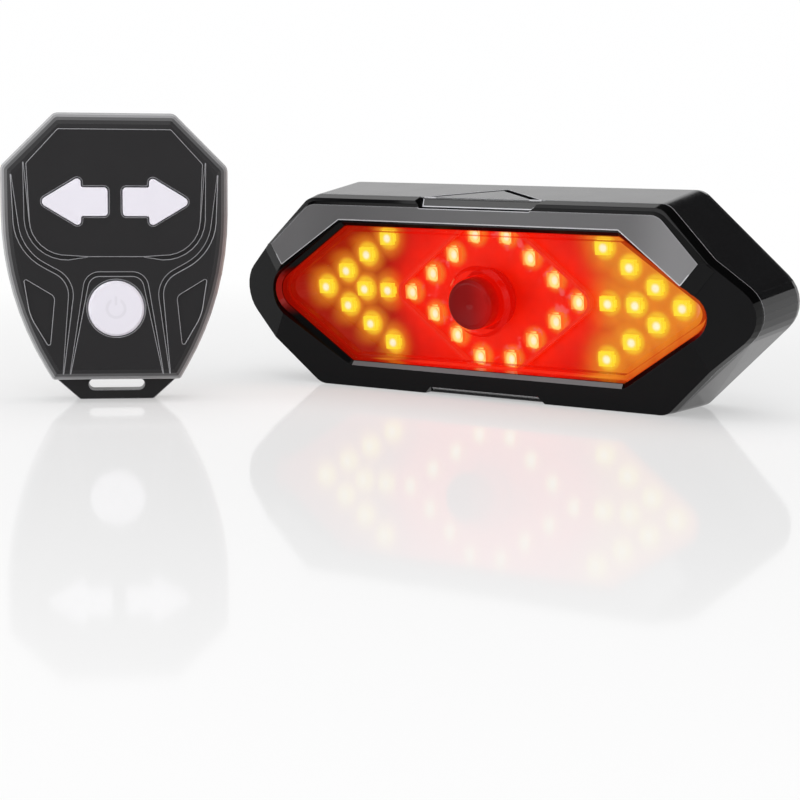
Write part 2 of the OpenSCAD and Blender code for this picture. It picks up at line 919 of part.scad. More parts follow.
// Pocket in the back wall for the flap and its anchor, and the hole for the socket
module port_cut() {
  pocket_w = flap_w + anchor_w + 3 * flap_gap;
  translate([socket_x, 0, 0]) {
    translate([-flap_w / 2 - flap_gap, -flap_h / 2 - flap_gap, -far])
      cube([pocket_w, flap_h + 2 * flap_gap, far + back_z + flap_t]);
    block(usb_w + 2 * fit_gap, usb_h + 2 * fit_gap, -far, floor_z + eps);
  }
}

// Rail that a seat-post bracket slides into, open at the bottom and closed at the top
module bracket_rail() {
  rail_w = rail_slot + 2 * rail_lip;
  way_in = rail_len * 1.5 - rail_lip;
  color("#1b1a1c")
    light_frame()
      difference() {
        translate([-rail_w / 2, -rail_len / 2, back_z - rail_depth])
          cube([rail_w, rail_len, rail_depth]);
        translate([-rail_slot / 2, -rail_len, back_z - rail_depth + rail_lip])
          cube([rail_slot, way_in, rail_depth]);
        translate([-rail_neck / 2, -rail_len, back_z - rail_depth - eps])
          cube([rail_neck, way_in, rail_depth + 2 * eps]);
      }
}

module rear_housing() {
  boss_top = -boss_depth - fit_gap;
  counterbore_z = back_z + head_h;
  color("#1b1a1c")
    light_frame()
      difference() {
        union() {
          difference() {
            intersection() {
              skin();
              folded_slab(-far, 0);
            }
            hollow();
            intersection() {
              plate(inset(rim, seal_inset), -side_depth, far);
              folded_slab(-seal_t, far);
            }
          }
          at_corners(boss_x, boss_y)
            disc(boss_r + 0.4, floor_z - eps, boss_top);
          at_corners(post_x, post_y)
            disc(post_r, floor_z - eps, board_back_z);
          for (up = [0, 1])
            mirror([0, up, 0])
              notch_wedge();
        }
        difference() {
          scoop(notch_half_w - 0.6, scoop_len, scoop_depth);
          scoop(notch_half_w - 3.2, scoop_len - 1.8, scoop_depth / 2);
        }
        at_corners(boss_x, boss_y) {
          disc(screw_r + fit_gap, -far, far);
          disc(head_r + fit_gap, -far, counterbore_z);
        }
        port_cut();
      }
}

module housing_screws() {
  color("silver")
    light_frame()
      at_corners(boss_x, boss_y) {
        disc(head_r, back_z + 0.2, back_z + head_h);
        disc(screw_r, back_z + head_h - eps, -pilot_tip - 0.4);
      }
}

// Outline of the remote's body without its tab
remote_side_turn = 30;
lower_side_len = (remote_half_w - foot_half_w) / sin(remote_side_turn);
remote_side_r = 0.85 * lower_side_len * tan(90 - remote_side_turn / 2);
knee_y = tab_h + (remote_half_w - foot_half_w) / tan(remote_side_turn);
shoulder_y = remote_h - (remote_half_w - top_half_w);
remote_body = both_sides([
  [foot_half_w, tab_h, 0.8], [remote_half_w, knee_y, remote_side_r],
  [remote_half_w, shoulder_y, 2], [top_half_w, remote_h, 1.8]
]);

// The upper panel with the arrow keys, the grooves and the side pockets
panel_top_y = remote_h - panel_margin;
panel_shoulder = [remote_half_w - 4.9, shoulder_y + 0.7];
upper_panel = both_sides([
  [panel_shoulder[0] - 0.8, panel_low_y, 7], [panel_shoulder[0], panel_shoulder[1], 0.6],
  [top_half_w - 0.7, panel_top_y, 0.6]
]);
groove_outer = path([
  [remote_half_w - 2.1, shoulder_y - 1.4], [remote_half_w - 3.3, panel_low_y + 1, 10],
  [foot_half_w - 4, panel_low_y - 4.5, 5], [foot_half_w - 2, tab_h + 0.9]
]);
groove_inner = path([
  [panel_shoulder[0] + 0.5, panel_shoulder[1] + 0.2], [panel_shoulder[0] - 0.35, panel_low_y - 0.45, 7.4],
  [top_half_w - 6, panel_low_y]
]);
groove_middle = path([
  [foot_half_w - 3.2, tab_h + 0.5], [round_r, panel_low_y - 3.3, 2.6],
  [-round_r, panel_low_y - 3.3, 2.6], [3.2 - foot_half_w, tab_h + 0.5]
]);
pocket_x = remote_half_w - 4.2;
pocket_top_y = panel_low_y - 4.1;
side_pocket = [
  [pocket_x - 4.7, tab_h + 6.4, least_r], [pocket_x - 1.1, tab_h + 12.6, 10],
  [pocket_x, pocket_top_y, least_r], [pocket_x - 5.7, pocket_top_y - 3.5, 1.2]
];

// Arrow key outline that points along +x, grown by g
function arrow(g) = inset([
  [arrow_tip, 0, 0.9], [arrow_neck, arrow_head_h, 0.7], [arrow_neck, arrow_shaft_h, 0.4],
  [arrow_tail, arrow_shaft_h, 0.7], [arrow_tail, -arrow_shaft_h, 0.7], [arrow_neck, -arrow_shaft_h, 0.4],
  [arrow_neck, -arrow_head_h, 0.7]
], -g);

module remote_round_edge(depth, r) {
  edge = [
    for (k = [0:edge_steps])
      let (a = 90 * k / edge_steps)
      ring(inset(remote_body, r * (1 - cos(a))), depth - r + r * sin(a))
  ];
  loft(concat([ring(remote_body, 0)], edge));
}

module at_remote_screws() {
  for (sx = [-1, 1]) {
    translate([sx * (remote_half_w - 4.2), shoulder_y - 3.3, 0])
      children();
    translate([sx * (foot_half_w - 0.7), tab_h + 5.6, 0])
      children();
  }
}

module both_arrows() {
  translate([0, arrow_y, 0])
    for (side = [0, 1])
      mirror([side, 0, 0])
        children();
}

module mirrored_pair() {
  for (side = [0, 1])
    mirror([side, 0, 0])
      children();
}

module face_cut(points, z) {
  translate([0, 0, z])
    linear_extrude(far)
      polygon(points);
}

module remote_front_shell() {
  cut_z = front_depth - groove_depth;
  color("#2b2a2c")
    remote_frame()
      difference() {
        union() {
          difference() {
            remote_round_edge(front_depth, front_r);
            plate(inset(remote_body, remote_wall), -eps, skin_z);
          }
          plate(upper_panel, front_depth - eps, front_depth + panel_rise);
          intersection() {
            at_remote_screws()
              disc(remote_boss_r, fit_gap, skin_z + eps);
            plate(inset(remote_body, remote_wall / 2), 0, far);
          }
        }
        mirrored_pair() {
          face_cut(band(groove_outer, groove_w), cut_z);
          face_cut(band(groove_inner, groove_w), cut_z);
          face_cut(outline(side_pocket), cut_z);
        }
        face_cut(band(groove_middle, groove_w), cut_z);
        both_arrows()
          plate(arrow(key_gap), 0, far);
        translate([0, round_y, 0])
          disc(round_r + key_gap, 0, far);
        at_remote_screws()
          disc(remote_screw_r + thread_gap, -far, remote_boss_top);
      }
}

// Strap tab with its slot
module strap_tab() {
  slot_y = tab_h - slot_h / 2 - 0.4;
  tab = both_sides([
    [tab_half_w - 0.6, 0, 0.8], [foot_half_w, tab_h + 0.2, 0.6], [foot_half_w - 2, tab_h + 4, 0.6]
  ]);
  difference() {
    plate(tab, -tab_t, 0);
    translate([0, slot_y, -far / 2]) {
      translate([-(slot_l - slot_h) / 2, -slot_h / 2, 0])
        cube([slot_l - slot_h, slot_h, far]);
      for (sx = [-1, 1])
        translate([sx * (slot_l - slot_h) / 2, 0, 0])
          cylinder(r = slot_h / 2, h = far);
    }
  }
}

module remote_rear_shell() {
  floor_top = -rear_depth + remote_floor_t;
  color("#242325")
    remote_frame()
      difference() {
        union() {
          difference() {
            union() {
              mirror([0, 0, 1])
                remote_round_edge(rear_depth, rear_r);
              strap_tab();
            }
            plate(inset(remote_body, remote_wall), floor_top, eps);
          }
          intersection() {
            at_remote_screws()
              disc(remote_boss_r, floor_top - eps, 0);
            plate(inset(remote_body, remote_wall / 2), -far, far);
          }
        }
        plate(inset(remote_body, remote_wall / 2), -remote_seal_t, eps);
        at_remote_screws() {
          disc(remote_screw_r + fit_gap, -far, far);
          disc(head_r + fit_gap, -far, -rear_depth + head_h);
        }
      }
}

module remote_seal() {
  color("#404040")
    remote_frame()
      difference() {
        plate(inset(remote_body, remote_wall / 2 + fit_gap), -remote_seal_t, 0);
        plate(inset(remote_body, remote_wall), -far, far);
      }
}

// A key: cap above the face, flange behind it and a stem towards its dome
module key_stem() {
  stem_low = mat_z + dome_h + key_travel + 0.15;
  flange_low = skin_z - key_flange_gap - key_flange_t;
  disc(stem_r, stem_low, flange_low + eps);
}

module arrow_key_solid() {
  flange_top = skin_z - key_flange_gap;
  stem_x = (arrow_tip + arrow_neck) / 2 - 2.2;
  translate([0, arrow_y, 0]) {
    plate(arrow(0), flange_top - eps, front_depth + panel_rise + key_rise);
    intersection() {
      plate(arrow(key_gap + key_flange_w), flange_top - key_flange_t, flange_top);
      translate([fit_gap * 2, -far / 2, -far / 2])
        cube([far, far, far]);
    }
    translate([stem_x, 0, 0])
      key_stem();
  }
}

module right_arrow_key() {
  color("#ebe8f2")
    remote_frame()
      arrow_key_solid();
}

module left_arrow_key() {
  color("#ebe8f2")
    remote_frame()
      mirror([1, 0, 0])
        arrow_key_solid();
}

module round_key() {
  flange_top = skin_z - key_flange_gap;
  cap_z = front_depth + key_rise;
  edge_r = 0.4;
  stem_low = mat_z + dome_h + key_travel + 0.15;
  color("#ebe8f2")
    remote_frame()
      translate([0, round_y, 0])
        rotate_extrude()
          polygon([
            [0, stem_low], [stem_r, stem_low], [stem_r, flange_top - key_flange_t],
            [round_r + key_gap + key_flange_w, flange_top - key_flange_t],
            [round_r + key_gap + key_flange_w, flange_top], [round_r, flange_top],
            [round_r, cap_z - edge_r], [round_r - edge_r, cap_z], [0, cap_z]
          ]);
}

// Where the domes, stems and collars sit
stem_at = [
  [(arrow_tip + arrow_neck) / 2 - 2.2, arrow_y],
  [-(arrow_tip + arrow_neck) / 2 + 2.2, arrow_y],
  [0, round_y]
];

module at_stems() {
  for (p = stem_at)
    translate([p[0], p[1], 0])
      children();
}

// Silicone mat on the board, with a collar under each key
module key_mat() {
  collar_top = skin_z - key_flange_gap - key_flange_t - key_travel - 0.1;
  color("#bdb9c4")
    remote_frame()
      difference() {
        union() {
          intersection() {
            plate(inset(remote_body, remote_wall + 2 * fit_gap), mat_z, mat_z + mat_t);
            translate([-far / 2, tab_h + 6, -far / 2])
              cube([far, far, far]);
          }
          at_stems()
            disc(collar_r + 0.8, mat_z, collar_top);
        }
        at_stems()
          disc(collar_r, -far, far);
        at_remote_screws()
          disc(remote_boss_r + 2 * fit_gap, -far, far);
      }
}

module remote_board() {
  color("seagreen")
    remote_frame()
      difference() {
        plate(inset(remote_body, remote_wall + 2 * fit_gap), mat_z - remote_board_t, mat_z);
        at_remote_screws()
          disc(remote_boss_r + 2 * fit_gap, -far, far);
      }
}

module key_domes() {
  color("silver")
    remote_frame()
      at_stems()
        translate([0, 0, mat_z])
          cylinder(r1 = dome_r, r2 = dome_r - 1, h = dome_h);
}

module remote_chip() {
  color("#222222")
    remote_frame()
      translate([0, round_y - 2, 0])
        block(6, 5, mat_z - remote_board_t - 1.2, mat_z - remote_board_t);
}

module coin_cell() {
  cell_floor = -rear_depth + remote_floor_t + contact_t;
  rim_step = 0.7;
  color("silver")
    remote_frame()
      translate([0, cell_y, cell_floor]) {
        cylinder(r = cell_r - rim_step, h = cell_thick);
        translate([0, 0, rim_step])
          cylinder(r = cell_r, h = cell_thick - rim_step);
      }
}

module cell_holder() {
  low = -rear_depth + remote_floor_t;
  color("#333333")
    remote_frame()
      translate([0, cell_y, 0])
        difference() {
          disc(cell_r + 1.3, low, mat_z - remote_board_t);
          disc(cell_r + fit_gap, -far, far);
          translate([-cell_r / 2, 0, -far / 2])
            cube([cell_r, far, far]);
        }
}

// Contact plates under and over the coin cell
module cell_contacts() {
  low = -rear_depth + remote_floor_t;
  cell_top = low + contact_t + cell_thick;
  color("gold")
    remote_frame()
      translate([0, cell_y, 0]) {
        disc(cell_r / 2, low, low + contact_t);
        block(cell_r, cell_r / 3, cell_top, mat_z - remote_board_t);
      }
}

module remote_screws() {
  color("silver")
    remote_frame()
      at_remote_screws() {
        disc(head_r, -rear_depth + 0.2, -rear_depth + head_h);
        disc(remote_screw_r, -rear_depth + head_h - eps, remote_boss_top - 0.4);
      }
}

front_bezel();
lens();
lens_seal();
power_button();
switch_plunger();
button_switch();
reflector();
led_board();
amber_leds_left();
amber_leds_right();
red_leds();
control_chip();
radio_module();
battery_cell();
battery_pad();
charge_board();
charge_socket();
port_flap();
flap_anchor();
housing_seal();
rear_housing();
housing_screws();
bracket_rail();
remote_front_shell();
remote_rear_shell();
remote_seal();
left_arrow_key();
right_arrow_key();
round_key();
key_mat();
remote_board();
key_domes();
remote_chip();
coin_cell();
cell_holder();
cell_contacts();
remote_screws();
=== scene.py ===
import math
from collections import namedtuple

import bpy
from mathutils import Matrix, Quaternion, Vector


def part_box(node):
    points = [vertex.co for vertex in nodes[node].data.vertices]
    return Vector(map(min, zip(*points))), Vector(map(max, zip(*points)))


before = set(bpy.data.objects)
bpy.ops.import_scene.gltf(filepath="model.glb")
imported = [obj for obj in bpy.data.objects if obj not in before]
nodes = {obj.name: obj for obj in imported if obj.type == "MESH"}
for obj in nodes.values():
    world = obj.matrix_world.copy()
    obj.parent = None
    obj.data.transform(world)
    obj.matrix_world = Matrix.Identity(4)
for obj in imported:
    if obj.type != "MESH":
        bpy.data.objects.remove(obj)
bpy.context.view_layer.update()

MM = 0.001

# The light's face-on frame: it leans forward by the draft of its underside
LEAN = math.radians(6.8)
RIM_HALF_H = 20 * MM
SIDE_DEPTH = 14 * MM
RIM_Y = -(RIM_HALF_H * math.sin(LEAN) + SIDE_DEPTH / math.cos(LEAN) / 2)
RIM_CENTRE = Vector((0, RIM_Y, RIM_HALF_H * math.cos(LEAN)))
ACROSS = Vector((1, 0, 0))
UP = Vector((0, -math.sin(LEAN), math.cos(LEAN)))
OUT = Vector((0, -math.cos(LEAN), -math.sin(LEAN)))

# A place in that frame, in millimetres: x, depth, and the distances from the upright and the level
# middle line
Face = namedtuple("Face", "x depth ax ay")

# Lamp centres in one quarter of the light's face, in millimetres
ARM_LAMPS = 4
AMBER_TIP_X, AMBER_STEP_X, AMBER_STEP_Y = 41.0, 5.4, 3.62
RED_TIP_X, RED_STEP_X, RED_STEP_Y = 19.2, 5.2, 4.1
SHAFT_X = (31.2, 25.4)
AMBER_LAMPS = [(AMBER_TIP_X - i * AMBER_STEP_X, i * AMBER_STEP_Y) for i in range(ARM_LAMPS)]
AMBER_LAMPS += [(x, 0.0) for x in SHAFT_X]
RED_LAMPS = [(RED_TIP_X - i * RED_STEP_X, i * RED_STEP_Y) for i in range(ARM_LAMPS)]
RED_RUN = RED_STEP_X / RED_STEP_Y

# A lamp's hot spot sits this far to the right, because the camera sees the lamp's right side too.
# Its white middle and its coloured body fade out over these distances, sooner sideways on the red lamps.
LAMP_SHIFT = 0.4
HOT_SPOT, LAMP_BODY = (0.35, 1.15), (1.2, 2.1)
RED_SQUEEZE = 1.3

# How the lamps' light falls off on the board and the tray, in millimetres from the nearest lamp
AMBER_HALO, RED_HALO = (1.9, 3.0), (1.4, 3.2)
AMBER_FALL_LEFT, AMBER_FALL_RIGHT = (1.5, 5.5), (2, 8)
RED_FALL = (3, 9)
SIDES_MEET_X = (-20, 20)

# The red middle turns into amber where |x| plus a share of |y| passes through this range
ZONE_LEAN = 0.3
ZONE_EDGE = (19.5, 29.5)

# The pale peach patch at the right tip, a painted reflection, and the band of painted pink glints along
# the red lamps
PATCH_X, PATCH_Y = (43.4, 44.6), (2.6, 4.6)
GLINT_LINE = RED_TIP_X - 1
GLINT_BAND = (2, 5)
GLINT_SHARE = 0.6
GLINT_SCALE = 420
GLINT_SPOTS = (0.54, 0.66)

# The window's outline with its sloping edge, in millimetres
WINDOW_TIP_X, WINDOW_CORNER_X, WINDOW_HALF_H = 51.6, 31.35, 14.1
WINDOW_RUN = (WINDOW_TIP_X - WINDOW_CORNER_X) / WINDOW_HALF_H
WINDOW_MARGIN = 1.2

# Directions that faces of the bezel look in, and how far a face may turn from them
BROW_TILT = math.radians(14.5)
BROW = UP * math.sin(BROW_TILT) + OUT * math.cos(BROW_TILT)
SILL = (UP + OUT).normalized()
NEAR = math.cos(math.radians(2))
BEVEL_FACING, BEVEL_SLACK = math.sqrt(0.5), 0.12
FRONT_FACING = (0.8, 0.93)

# Painted highlight: the brow is painted brighter on its right slope, and a little on its left one.
# A painted red glow lies on the bevel at the window's tips.
RIGHT_SLOPE_X, LEFT_SLOPE_X = (32, 44), (-42, -28)
LEFT_SLOPE_SHARE = 0.35
SPILL_Y = (1.5, 5.5)
SPILL_STRENGTH = 0.85

# The remote's face looks this way, and its keys lie in this direction and up
REMOTE_TURN = math.radians(42.6)
REMOTE_OUT = Vector((math.sin(REMOTE_TURN), -math.cos(REMOTE_TURN), 0))
REMOTE_RIGHT = Vector((math.cos(REMOTE_TURN), math.sin(REMOTE_TURN), 0))
Z_AXIS = Vector((0, 0, 1))

# The power sign on the round key: a broken ring and a bar, in millimetres
SIGN_RING_R = 1.7
SIGN_LINE, SIGN_BAR = (0.15, 0.4), (0.1, 0.35)
SIGN_GAP = (0.7, 1.0)
SIGN_BAR_FOOT, SIGN_BAR_TOP = (0.5, 0.8), (2.2, 2.5)
SIGN_SHARE = 0.5


class Graph:
    """Short names for building a node material."""

    def __init__(self, name):
        self.material = bpy.data.materials.new(name)
        self.material.use_nodes = True
        self.tree = self.material.node_tree
        self.tree.nodes.clear()
        self.out = self.tree.nodes.new("ShaderNodeOutputMaterial")

    def node(self, kind, **settings):
        n = self.tree.nodes.new(kind)
        for key, value in settings.items():
            setattr(n, key, value)
        return n

    def link(self, a, b):
        self.tree.links.new(a, b)

    def put(self, socket, value):
        if isinstance(value, bpy.types.NodeSocket):
            self.link(value, socket)
        else:
            socket.default_value = value

    def math(self, op, a, b=0.0, c=0.0):
        n = self.node("ShaderNodeMath", operation=op)
        for socket, value in zip(n.inputs, (a, b, c)):
            self.put(socket, value)
        return n.outputs[0]

    def dot(self, vector, constant):
        n = self.node("ShaderNodeVectorMath", operation="DOT_PRODUCT")
        self.put(n.inputs[0], vector)
        n.inputs[1].default_value = constant
        return n.outputs["Value"]

    def mix(self, fac, a, b):
        n = self.node("ShaderNodeMix", data_type="RGBA")
        self.put(n.inputs[0], fac)
        self.put(n.inputs[6], a)
        self.put(n.inputs[7], b)
        return n.outputs[2]

    def ramp(self, value, low, high, a=0.0, b=1.0):
        n = self.node("ShaderNodeMapRange", interpolation_type="SMOOTHSTEP")
        for socket, v in zip(n.inputs[:5], (value, low, high, a, b)):
            self.put(socket, v)
        return n.outputs[0]

    def coords(self):
        return self.node("ShaderNodeTexCoord").outputs["Object"]

    def facing(self, direction):
        """Cosine between the surface's normal and a direction in the object's frame."""
        return self.dot(self.node("ShaderNodeTexCoord").outputs["Normal"], direction)

    def from_point(self, point):
        """Vector from a point to the surface, in metres."""
        n = self.node("ShaderNodeVectorMath", operation="SUBTRACT")
        self.link(self.coords(), n.inputs[0])
        n.inputs[1].default_value = point
        return n.outputs[0]

    def noise(self, scale, detail=3.0, vector=None):
        n = self.node("ShaderNodeTexNoise")
        self.put(n.inputs["Vector"], vector if vector is not None else self.coords())
        n.inputs["Scale"].default_value = scale
        n.inputs["Detail"].default_value = detail
        return n.outputs["Fac"]

    def cloud(self):
        """Slow variation over a moulded surface."""
        return self.noise(120, 4)

    def seen(self):
        """1 for what the camera sees, directly, in a mirror or through glass."""
        path = self.node("ShaderNodeLightPath").outputs
        mirrored = self.math("MAXIMUM", path["Is Glossy Ray"], path["Is Transmission Ray"])
        return self.math("MAXIMUM", path["Is Camera Ray"], mirrored)

    def face(self):
        """The place on the surface in the light's face-on frame."""
        p = self.from_point(RIM_CENTRE)
        x = self.math("DIVIDE", self.dot(p, ACROSS), MM)
        y = self.math("DIVIDE", self.dot(p, UP), MM)
        depth = self.math("DIVIDE", self.dot(p, OUT), MM)
        return Face(x, depth, self.math("ABSOLUTE", x), self.math("ABSOLUTE", y))

    def length(self, a, b):
        """Length of a vector with these two parts."""
        squares = self.math("ADD", self.math("MULTIPLY", a, a), self.math("MULTIPLY", b, b))
        return self.math("SQRT", squares)

    def nearest(self, ax, ay, lamps, squeeze=1.0):
        """Distance in millimetres to the nearest of these lamps; squeeze makes it grow faster sideways."""
        best = None
        for lx, ly in lamps:
            dx = self.math("MULTIPLY", self.math("SUBTRACT", ax, lx), squeeze)
            dy = self.math("SUBTRACT", ay, ly)
            d = self.length(dx, dy)
            best = d if best is None else self.math("MINIMUM", best, d)
        return best

    def blend(self, fac, a, b):
        """Shader a where fac is 0, and b where it is 1."""
        n = self.node("ShaderNodeMixShader")
        self.put(n.inputs[0], fac)
        self.link(a.outputs[0], n.inputs[1])
        self.link(b.outputs[0], n.inputs[2])
        return n

    def principled(self, **values):
        n = self.node("ShaderNodeBsdfPrincipled")
        for key, value in values.items():
            self.put(n.inputs[key.replace("_", " ")], value)
        return n

    def bump(self, height, strength, distance, normal=None):
        n = self.node("ShaderNodeBump")
        n.inputs["Strength"].default_value = strength
        n.inputs["Distance"].default_value = distance
        self.link(height, n.inputs["Height"])
        if normal is not None:
            self.link(normal, n.inputs["Normal"])
        return n.outputs[0]

    def rounded(self, radius_mm):
        """A normal that rounds the edges off by this radius."""
        n = self.node("ShaderNodeBevel", samples=6)
        n.inputs["Radius"].default_value = radius_mm * MM
        return n.outputs[0]

    def edges(self, width_mm, sharp=0.6, blunt=0.95):
        """1 on the outer edges, 0 a little way in from them and in the hollows."""
        n = self.node("ShaderNodeAmbientOcclusion", samples=8, inside=True, only_local=True)
        n.inputs["Distance"].default_value = width_mm * MM
        return self.ramp(n.outputs["AO"], sharp, blunt, 1.0, 0.0)

    def done(self, shader):
        self.link(shader.outputs[0], self.out.inputs["Surface"])
        return self.material


def rgb(r, g, b):
    """A display colour, 0 to 255, as scene-linear values."""
    def linear(v):
        v = v / 255
        return v / 12.92 if v <= 0.04045 else ((v + 0.055) / 1.055) ** 2.4
    return (linear(r), linear(g), linear(b), 1.0)


def scaled(colour, by):
    """A colour made darker or brighter, up to white."""
    return tuple(min(1.0, c * by) for c in colour[:3]) + (1.0,)


# Plastics, rubber, metals and boards
BLACK = (0.006, 0.006, 0.0065, 1)
# Painted shade on the bezel's faces turned away from the front
BEVEL_SHADE_BLACK = scaled(BLACK, 0.2)
REMOTE_BLACK = (0.012, 0.0113, 0.0124, 1)
# Painted highlights on black plastic: pale edge lines, and the greys where light falls on the brow, its
# slopes, the sill and the remote's rim
EDGE_HIGHLIGHT_GREY = rgb(196, 196, 200)
HIGHLIGHT_LINE_GREY = rgb(180, 180, 184)
BROW_HIGHLIGHT_GREY = (0.118, 0.117, 0.12, 1)
SLOPE_HIGHLIGHT_GREY = scaled(BROW_HIGHLIGHT_GREY, 1.65)
SILL_HIGHLIGHT_GREY = (0.15, 0.15, 0.155, 1)
RIM_HIGHLIGHT_GREY = (0.45, 0.45, 0.46, 1)
KEY_WHITE = rgb(233, 230, 239)
RUBBER = (0.018, 0.018, 0.018, 1)
STEEL = (0.6, 0.6, 0.62, 1)
SCREW_STEEL = (0.2, 0.2, 0.21, 1)
GOLD = (0.75, 0.55, 0.2, 1)
BOARD_GREEN = rgb(20, 90, 50)

# The lamps' light, painted as glow on the board, the tray, the lens and the button
HALO_YELLOW = rgb(255, 206, 52)
LIT_AMBER = rgb(238, 146, 42)
LIT_ORANGE = rgb(214, 74, 22)
DEEP_RED = rgb(164, 17, 3)
PEACH_REFLECTION = rgb(244, 150, 104)
HALO_ORANGE = rgb(255, 128, 44)
LIT_RED, DIM_RED = rgb(255, 28, 2), rgb(232, 16, 2)
GLINT_PINK = rgb(252, 110, 116)
FRAME_GLOW_PINK = rgb(250, 46, 26)
RIM_GLOW_RED, COLLAR_GLOW_RED = rgb(150, 12, 2), rgb(214, 12, 2)
LENS_BODY = rgb(90, 4, 2)
AMBER_CLEAR, RED_CLEAR = (1.0, 0.96, 0.9, 1), (1.0, 0.94, 0.9, 1)
BUTTON_DARK, BUTTON_LIGHT = rgb(34, 2, 2), rgb(44, 3, 3)
BUTTON_FACE_GLOW, BUTTON_RIGHT_GLOW, BUTTON_FOOT_GLOW = rgb(118, 6, 6), rgb(190, 10, 4), rgb(228, 13, 2)
BUTTON_CLEAR = (0.7, 0.05, 0.03, 1)

# The button's painted glow is redder towards its right side and its foot, in millimetres, and the button
# is a little see-through
BUTTON_RIGHT_X = (-1, 6)
BUTTON_FOOT_DEPTH = (0.5, 6.6)
BUTTON_BODY_SHARE = 0.85

GRAIN_DEPTH = 0.05 * MM


def plastic(name, colour, rough, spec=0.5, vary=0.15, grain=0.0, grain_scale=3000,
            round_mm=0.2, edge=None, edge_mm=0.3):
    """Moulded plastic: cloudy colour and polish, rounded edges, and optional grain and painted highlight
    lines on its outer edges.
    """
    g = Graph(name)
    cloud = g.cloud()
    base = g.mix(cloud, scaled(colour, 1 - vary), scaled(colour, 1 + vary))
    polish = g.ramp(cloud, 0.3, 0.7, rough * 0.9, rough * 1.1)
    if edge is not None:
        # Painted highlight: the outer edges are painted pale
        base = g.mix(g.edges(edge_mm), base, edge)
    normal = g.rounded(round_mm)
    if grain:
        normal = g.bump(g.noise(grain_scale, 2), grain, GRAIN_DEPTH, normal)
    p = g.principled(Base_Color=base, Roughness=polish, Specular_IOR_Level=spec, Normal=normal)
    return g.done(p)


def bezel_black(name):
    """Gloss black front with painted shade on its bevels, a rougher brow and a sill painted grey as
    highlights, painted highlight lines on the brow's outer edges, and a painted red glow on the bevel at
    the window's tips.
    """
    g = Graph(name)
    at = g.face()
    cloud = g.cloud()
    along = g.math("ADD", at.ax, g.math("MULTIPLY", at.ay, WINDOW_RUN))
    reach = WINDOW_TIP_X + WINDOW_MARGIN * math.hypot(1, WINDOW_RUN)
    window = g.math("MULTIPLY", g.math("LESS_THAN", along, reach),
                    g.math("LESS_THAN", at.ay, WINDOW_HALF_H + WINDOW_MARGIN))
    brow = g.math("GREATER_THAN", g.facing(BROW), NEAR)
    sill = g.math("MULTIPLY", window, g.math("GREATER_THAN", g.facing(SILL), NEAR))
    bevel = g.math("MULTIPLY", window, g.math("COMPARE", g.facing(OUT), BEVEL_FACING, BEVEL_SLACK))
    # Painted red glow on the bevel near the window's tips
    spill = g.math("MULTIPLY", bevel, g.ramp(at.ay, *SPILL_Y, 1.0, 0.0))
    colour = g.mix(cloud, scaled(BLACK, 0.85), scaled(BLACK, 1.15))
    # Painted shade: faces turned away from the front are painted blacker than the black front
    colour = g.mix(g.ramp(g.facing(OUT), *FRONT_FACING), BEVEL_SHADE_BLACK, colour)
    # Painted highlight, brighter towards the brow's slopes
    slope_highlight = g.math("MAXIMUM", g.ramp(at.x, *RIGHT_SLOPE_X),
                    g.ramp(at.x, *LEFT_SLOPE_X, LEFT_SLOPE_SHARE, 0.0))
    # Painted highlight: the brow is painted grey where light falls on it
    brow_highlight = g.mix(cloud, scaled(BROW_HIGHLIGHT_GREY, 0.96), scaled(BROW_HIGHLIGHT_GREY, 1.04))
    colour = g.mix(brow, colour, g.mix(slope_highlight, brow_highlight, SLOPE_HIGHLIGHT_GREY))
    # Painted highlight: the sill, facing up, is painted grey
    colour = g.mix(sill, colour, SILL_HIGHLIGHT_GREY)
    outer_brow = g.math("MULTIPLY", brow, g.math("SUBTRACT", 1.0, window))
    # Painted highlight lines on the brow's outer edges
    line = g.math("MULTIPLY", g.edges(0.25, 0.78, 0.98), outer_brow)
    p = g.principled(
        Base_Color=g.mix(line, colour, EDGE_HIGHLIGHT_GREY),
        Roughness=g.ramp(brow, 0, 1, 0.12, 0.4),
        Specular_IOR_Level=0.08,
        Normal=g.rounded(0.2),
        Emission_Color=RIM_GLOW_RED,
        Emission_Strength=g.math("MULTIPLY", spill, SPILL_STRENGTH),
    )
    return g.done(p)


def remote_black(name, colour):
    """Satin black with a painted highlight on its rounded rim, paler than its face and sides, and painted
    highlight lines on its edges.
    """
    g = Graph(name)
    cloud = g.cloud()
    flat = g.math("ABSOLUTE", g.facing(REMOTE_OUT))
    not_face = g.ramp(flat, 0.3, 0.985, 1.0, 0.0)
    not_side = g.ramp(flat, 0.05, 0.4, 0.12, 1.0)
    base = g.mix(cloud, scaled(colour, 0.92), scaled(colour, 1.08))
    # Painted highlight: the rounded rim is painted pale, the sides a little
    base = g.mix(g.math("MULTIPLY", not_face, not_side), base, RIM_HIGHLIGHT_GREY)
    p = g.principled(
        # Painted highlight lines on the remote's outer edges
        Base_Color=g.mix(g.edges(0.2), base, HIGHLIGHT_LINE_GREY),
        Roughness=g.ramp(cloud, 0.3, 0.7, 0.32, 0.4),
        Specular_IOR_Level=0.22,
        Sheen_Weight=0.3,
        Sheen_Roughness=0.25,
        Normal=g.rounded(0.2),
    )
    return g.done(p)


